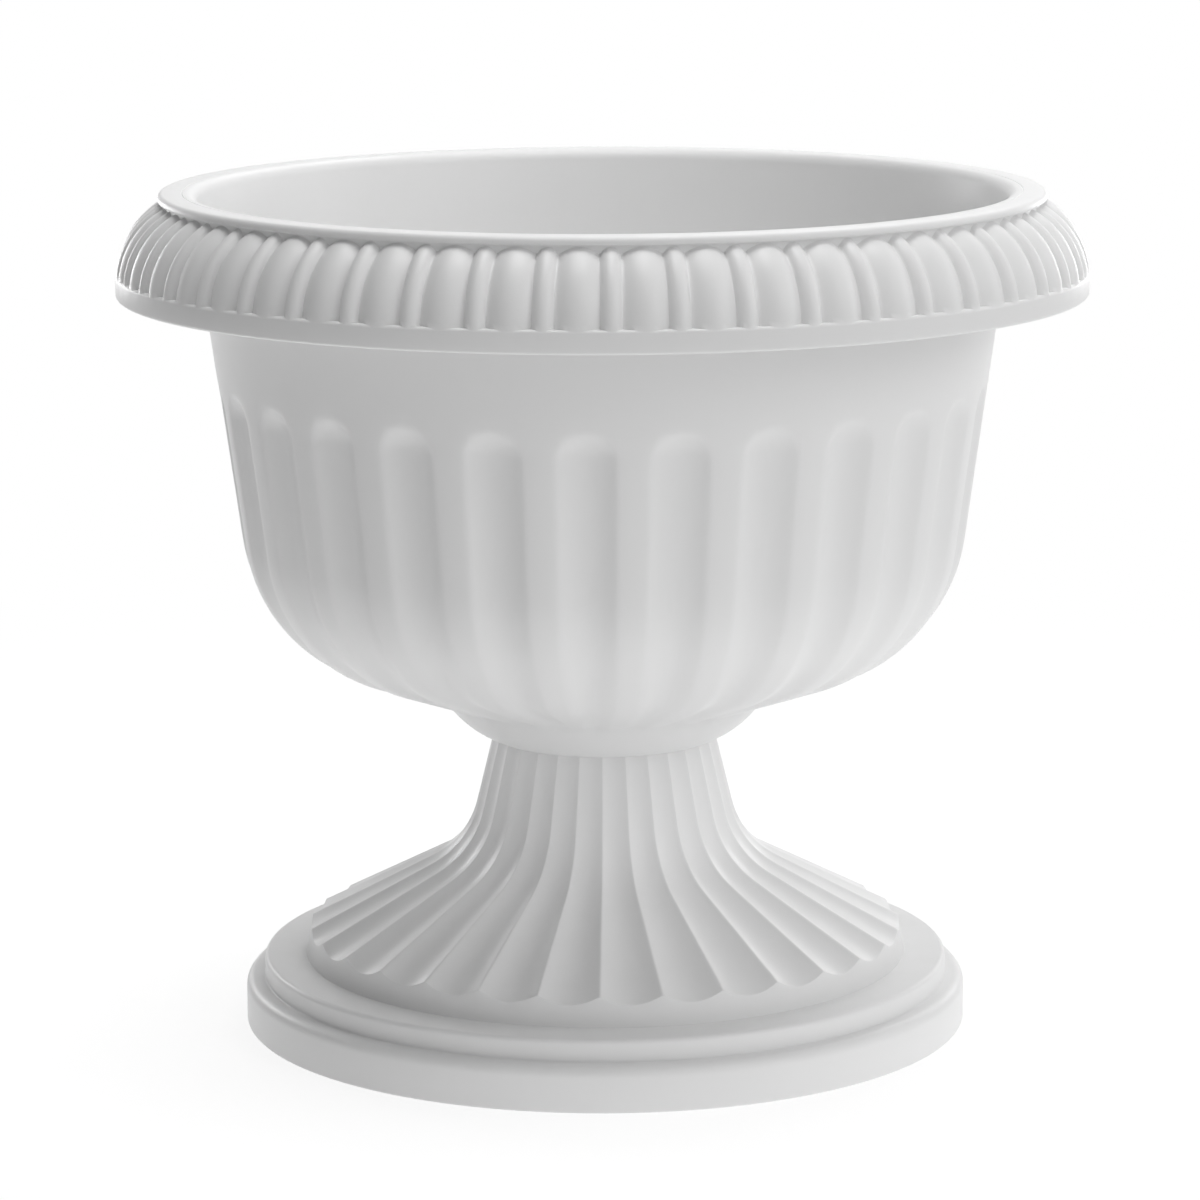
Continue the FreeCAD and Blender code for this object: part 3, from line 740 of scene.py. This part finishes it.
def plug_slice(angle):
    rest = SEAT + FLOOR
    head_top = rest + PLUG_HEAD
    stem = DRAIN_RADIUS - RUNNING_GAP
    outline = [complex(0, rest - PLUG_STEM)]
    outline += corner_round(complex(0, rest - PLUG_STEM), complex(stem, rest - PLUG_STEM),
                            complex(stem, rest), STEM_ROUND, 4)
    outline += [complex(stem, rest), complex(PLUG_HEAD_RADIUS, rest)]
    outline += corner_round(complex(PLUG_HEAD_RADIUS, rest), complex(PLUG_HEAD_RADIUS, head_top),
                            complex(0, head_top), HEAD_ROUND, 5)
    outline.append(complex(HEAD_FLAT_RADIUS, head_top))
    outline.append(complex(pull_radius(angle, -0.6), head_top))
    outline.append(complex(pull_radius(angle, -0.15), head_top + 0.3))
    outline += [complex(pull_radius(angle, 0), head_top + 0.9 + k * 1.9) for k in range(4)]
    top = head_top + PULL_HIGH
    for lean in (15, 35, 55, 75, 90):
        shrink = PULL_ROUND * (1 - math.cos(math.radians(lean)))
        drop = PULL_ROUND * (1 - math.sin(math.radians(lean)))
        outline.append(complex(pull_radius(angle, shrink), top - drop))
    return outline + [complex(0, top)]


plug_angles = [3.75 * i for i in range(96)]
plug_skin = new_skin()
grow(plug_skin, plug_angles, [plug_slice(angle) for angle in plug_angles])
plug = to_object(plug_skin, "drain_plug_shell")
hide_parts("drain_plug")
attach(plug, "plug")

# %% [markdown]
# ## White moulded plastic
#
# The real plastic is a clean satin white. Close up it has the fine grain of the mould, broad
# faint flow marks where the plastic set, and a little dust on what faces up. Grain and dust serve
# more than one material, so each is a node group with its own inputs.

# %% Node helpers
def new_group(name, inputs, outputs):
    """An empty shader group: inputs are (name, default), outputs are (name, socket type)."""
    group = bpy.data.node_groups.new(name, "ShaderNodeTree")
    for label, default in inputs:
        socket = group.interface.new_socket(label, in_out="INPUT", socket_type="NodeSocketFloat")
        socket.default_value = default
    for label, kind in outputs:
        group.interface.new_socket(label, in_out="OUTPUT", socket_type=kind)
    return group, group.nodes.new("NodeGroupInput"), group.nodes.new("NodeGroupOutput")


def put(tree, kind, inputs=(), **settings):
    """Add a node, set it up and feed its inputs with values or with other nodes' outputs."""
    node = tree.nodes.new(kind)
    for key, value in settings.items():
        setattr(node, key, value)
    for socket, value in inputs:
        if isinstance(value, bpy.types.NodeSocket):
            tree.links.new(value, node.inputs[socket])
        else:
            node.inputs[socket].default_value = value
    return node


def blend_range(tree, value, low, high, from_low=0.0, from_high=1.0):
    """Map a value from one range to another."""
    return put(tree, "ShaderNodeMapRange", [("Value", value), ("From Min", from_low),
                                            ("From Max", from_high), ("To Min", low),
                                            ("To Max", high)]).outputs[0]


# %% Mould grain: a height for the bump and a mask for the gloss
grain, grain_in, grain_out = new_group(
    "mould grain", [("Grain Size", 1500.0), ("Flow Size", 9.0)],
    [("Height", "NodeSocketFloat"), ("Gloss Mask", "NodeSocketFloat")])
place = put(grain, "ShaderNodeTexCoord").outputs["Object"]
fine = put(grain, "ShaderNodeTexNoise", [("Vector", place), ("Detail", 3.0), ("Roughness", 0.6),
                                         ("Scale", grain_in.outputs["Grain Size"])])
flow = put(grain, "ShaderNodeTexNoise", [("Vector", place), ("Detail", 2.0), ("Distortion", 1.2),
                                         ("Scale", grain_in.outputs["Flow Size"])])
lumps = put(grain, "ShaderNodeMath", [(0, flow.outputs[0]), (1, 6.0)], operation="MULTIPLY")
height = put(grain, "ShaderNodeMath", [(0, fine.outputs[0]), (1, lumps.outputs[0])],
             operation="ADD")
grain.links.new(height.outputs[0], grain_out.inputs["Height"])
grain.links.new(flow.outputs[0], grain_out.inputs["Gloss Mask"])

# %% Dust: a mask that is strongest on what faces up, broken up by noise
dust, dust_in, dust_out = new_group(
    "settled dust", [("Amount", 0.3), ("Patch Size", 22.0)], [("Mask", "NodeSocketFloat")])
facing = put(dust, "ShaderNodeSeparateXYZ",
             [(0, put(dust, "ShaderNodeNewGeometry").outputs["Normal"])]).outputs["Z"]
upward = blend_range(dust, facing, 0.0, 1.0, 0.35, 1.0)
patches = put(dust, "ShaderNodeTexNoise",
              [("Vector", put(dust, "ShaderNodeTexCoord").outputs["Object"]), ("Detail", 6.0),
               ("Roughness", 0.7), ("Scale", dust_in.outputs["Patch Size"])])
broken = blend_range(dust, patches.outputs[0], 0.0, 1.0, 0.42, 0.72)
settled = put(dust, "ShaderNodeMath", [(0, upward), (1, broken)], operation="MULTIPLY")
strength = put(dust, "ShaderNodeMath", [(0, settled.outputs[0]), (1, dust_in.outputs["Amount"])],
               operation="MULTIPLY")
dust.links.new(strength.outputs[0], dust_out.inputs["Mask"])


# %% The plastics
def plastic(name, colour, dust_colour, roughness, grain_size, bump, dust_amount):
    """A moulded plastic: satin, grained, faintly marked by flow and lightly dusted."""
    material = bpy.data.materials.new(name)
    material.use_nodes = True
    tree = material.node_tree
    shader = tree.nodes["Principled BSDF"]
    shader.inputs["IOR"].default_value = 1.49
    surface = put(tree, "ShaderNodeGroup", node_tree=grain)
    surface.inputs["Grain Size"].default_value = grain_size
    film = put(tree, "ShaderNodeGroup", node_tree=dust)
    film.inputs["Amount"].default_value = dust_amount
    tint = put(tree, "ShaderNodeMix", data_type="RGBA")
    tint.inputs["A"].default_value = colour
    tint.inputs["B"].default_value = dust_colour
    tree.links.new(film.outputs["Mask"], tint.inputs["Factor"])
    tree.links.new(tint.outputs["Result"], shader.inputs["Base Color"])
    satin = blend_range(tree, surface.outputs["Gloss Mask"], roughness - 0.05, roughness + 0.05)
    dulled = put(tree, "ShaderNodeMath", [(0, satin), (1, film.outputs["Mask"])], operation="ADD")
    tree.links.new(dulled.outputs[0], shader.inputs["Roughness"])
    relief = put(tree, "ShaderNodeBump", [("Strength", bump), ("Distance", 0.00004),
                                          ("Height", surface.outputs["Height"])])
    tree.links.new(relief.outputs["Normal"], shader.inputs["Normal"])
    return material


white = plastic("white satin plastic", (0.86, 0.86, 0.86, 1), (0.74, 0.74, 0.73, 1),
                roughness=0.40, grain_size=1500.0, bump=0.5, dust_amount=0.15)
plug_white = plastic("plug plastic", (0.84, 0.84, 0.83, 1), (0.70, 0.69, 0.66, 1),
                     roughness=0.36, grain_size=2200.0, bump=0.4, dust_amount=0.3)
for piece, material in ((bowl, white), (pedestal, white), (plug, plug_white)):
    piece.data.materials.append(material)
for node, material in (("bowl", white), ("pedestal", white), ("drain_plug", plug_white)):
    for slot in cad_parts[node].material_slots:
        slot.material = material
print("materials:", white.name, plug_white.name)

# %% [markdown]
# ## Camera
#
# The camera stands where the photograph was taken from: the ellipses of the rim and the foot
# give its height and distance, and the places of the flutes give its heading. A small roll and
# pan put the urn where it stands in the frame.

# %% Place the camera
EYE_DISTANCE = 1.946
EYE_HEIGHT = 0.554
EYE_HEADING = math.radians(-90.95)
LOOK_DOWN = math.radians(10.89)
PAN = math.radians(0.047)
ROLL = math.radians(0.22)
LENS = 140.0

camera_data = bpy.data.cameras.new("camera")
camera_data.sensor_width = 36.0
camera_data.lens = LENS
camera = bpy.data.objects.new("camera", camera_data)
bpy.context.scene.collection.objects.link(camera)
camera.location = (EYE_DISTANCE * math.cos(EYE_HEADING), EYE_DISTANCE * math.sin(EYE_HEADING),
                   EYE_HEIGHT)
level = Matrix.Rotation(EYE_HEADING + math.pi / 2 + PAN, 4, "Z")
tilt = Matrix.Rotation(math.pi / 2 - LOOK_DOWN, 4, "X")
spin = Matrix.Rotation(-ROLL, 4, "Z")
camera.matrix_world = Matrix.Translation(camera.location) @ level @ tilt @ spin
bpy.context.scene.camera = camera
print("camera at", [round(c, 3) for c in camera.matrix_world.translation])

# %% [markdown]
# ## Floor and light
#
# The urn stands on a white table that glows, with light from behind, above and the right, and a
# dark room behind the camera. So the sides and the underside glow and the front is the darkest
# part. The world gives that as a few soft lobes of light. The glow of the table is a few round
# patches, of which one takes away: the shade beside the foot.

# %% How bright each light is
MIDDLE = (0.0, 0.0, 0.2)
LOBES = (
    # towards, tightness, strength
    ((0.0, 0.98, 0.21), 12.0, 2.0),
    ((0.69, -0.69, 0.21), 12.0, 1.1),
    ((0.6, -0.8, 0.3), 3.0, 0.25),
    ((0.74, 0.0, 0.67), 12.0, 0.8),
    ((0.0, -1.0, 0.6), 3.0, 0.34),
)
GLOWS = (
    # middle, reach, strength
    ((0.0, 0.0), 0.6, 0.92),
    ((0.0, 0.0), 0.35, -0.6),
    ((0.0, -0.8), 0.8, 0.42),
    ((0.0, 0.8), 0.8, 0.6),
)
LAMPS = (
    # name, place, looks at, size, power
    ("lamp above", (0.0, 0.0, 2.2), MIDDLE, 1.2, 19.0),
    ("lamp above and behind", (0.5, 1.6, 1.9), MIDDLE, 1.2, 11.0),
    ("lamp at the right", (2.2, 0.3, 1.0), MIDDLE, 0.9, 5.5),
    ("lamp in front at the right", (1.5, -1.3, 1.4), MIDDLE, 0.9, 4.0),
    ("low lamp behind at the left", (-0.6, 0.7, 0.35), (-0.13, 0.0, 0.02), 0.25, 1.4),
    ("low lamp behind at the right", (0.6, 0.7, 0.35), (0.13, 0.0, 0.02), 0.25, 0.9),
)
PLAIN = 1.0
SHADOW_SHARE = 0.3

# %% The glowing table
FLOOR_HALF = 60.0
TABLE_COLOUR = (0.8, 0.8, 0.8, 1)
floor_mesh = bpy.data.meshes.new("floor")
floor_mesh.from_pydata([(-FLOOR_HALF, -FLOOR_HALF, 0), (FLOOR_HALF, -FLOOR_HALF, 0),
                        (FLOOR_HALF, FLOOR_HALF, 0), (-FLOOR_HALF, FLOOR_HALF, 0)], [],
                       [(0, 1, 2, 3)])
floor = bpy.data.objects.new("floor", floor_mesh)
bpy.context.scene.collection.objects.link(floor)


def plainly_seen(tree):
    """1 for rays that should find plain white: those of the eye, of gloss and of glass."""
    path = put(tree, "ShaderNodeLightPath")
    eye = put(tree, "ShaderNodeMath", [(0, path.outputs["Is Camera Ray"]),
                                       (1, path.outputs["Is Glossy Ray"])], operation="MAXIMUM")
    return put(tree, "ShaderNodeMath", [(0, eye.outputs[0]),
                                        (1, path.outputs["Is Transmission Ray"])],
               operation="MAXIMUM").outputs[0]


paper = bpy.data.materials.new("white table")
paper.use_nodes = True
tree = paper.node_tree
tree.nodes.clear()
spot = put(tree, "ShaderNodeTexCoord").outputs["Object"]


def blob(middle, reach, strength):
    """A round patch on the table that fades smoothly from its middle to its reach."""
    away = put(tree, "ShaderNodeVectorMath", [(0, spot), (1, (*middle, 0))],
               operation="DISTANCE").outputs["Value"]
    return put(tree, "ShaderNodeMapRange", [("Value", away), ("From Max", reach),
                                            ("To Min", strength), ("To Max", 0.0)],
               interpolation_type="SMOOTHSTEP").outputs[0]


glow = 0.0
for middle, reach, strength in GLOWS:
    glow = put(tree, "ShaderNodeMath", [(0, blob(middle, reach, strength)), (1, glow)],
               operation="ADD").outputs[0]
matt = put(tree, "ShaderNodeBsdfDiffuse", [("Color", TABLE_COLOUR)])
lit = put(tree, "ShaderNodeAddShader", [
    (0, matt.outputs[0]),
    (1, put(tree, "ShaderNodeEmission", [("Strength", glow)]).outputs[0])])
shown = put(tree, "ShaderNodeMixShader", [
    (0, blob((0, 0), 1.0, SHADOW_SHARE)),
    (1, put(tree, "ShaderNodeEmission", [("Strength", PLAIN)]).outputs[0]),
    (2, lit.outputs[0])])
either = put(tree, "ShaderNodeMixShader", [(0, plainly_seen(tree)), (1, lit.outputs[0]),
                                           (2, shown.outputs[0])])
put(tree, "ShaderNodeOutputMaterial", [("Surface", either.outputs[0])])
floor_mesh.materials.append(paper)

# %% The world's lobes
world = bpy.data.worlds.new("studio")
bpy.context.scene.world = world
world.use_nodes = True
tree = world.node_tree
tree.nodes.clear()
way = put(tree, "ShaderNodeTexCoord").outputs["Generated"]
total = 0.0
for towards, tightness, strength in LOBES:
    along = put(tree, "ShaderNodeVectorMath", [(0, way), (1, Vector(towards).normalized())],
                operation="DOT_PRODUCT").outputs["Value"]
    facing = put(tree, "ShaderNodeMath", [(0, along), (1, 0.0)], operation="MAXIMUM")
    lobe = put(tree, "ShaderNodeMath", [(0, facing.outputs[0]), (1, tightness)],
               operation="POWER")
    total = put(tree, "ShaderNodeMath", [(0, lobe.outputs[0]), (1, strength), (2, total)],
                operation="MULTIPLY_ADD").outputs[0]
soft = put(tree, "ShaderNodeBackground", [("Strength", total)])
plain = put(tree, "ShaderNodeBackground", [("Strength", PLAIN)])
either = put(tree, "ShaderNodeMixShader", [(0, plainly_seen(tree)), (1, soft.outputs[0]),
                                           (2, plain.outputs[0])])
put(tree, "ShaderNodeOutputWorld", [("Surface", either.outputs[0])])


# %% The lamps, for crisper edges
for name, place, looks_at, size, power in LAMPS:
    data = bpy.data.lights.new(name, "AREA")
    data.shape = "SQUARE"
    data.size = size
    data.energy = power
    thing = bpy.data.objects.new(name, data)
    thing.location = place
    aim = Vector(looks_at) - Vector(place)
    thing.rotation_euler = aim.to_track_quat("-Z", "Y").to_euler()
    bpy.context.scene.collection.objects.link(thing)
bpy.context.scene.view_settings.view_transform = "Standard"
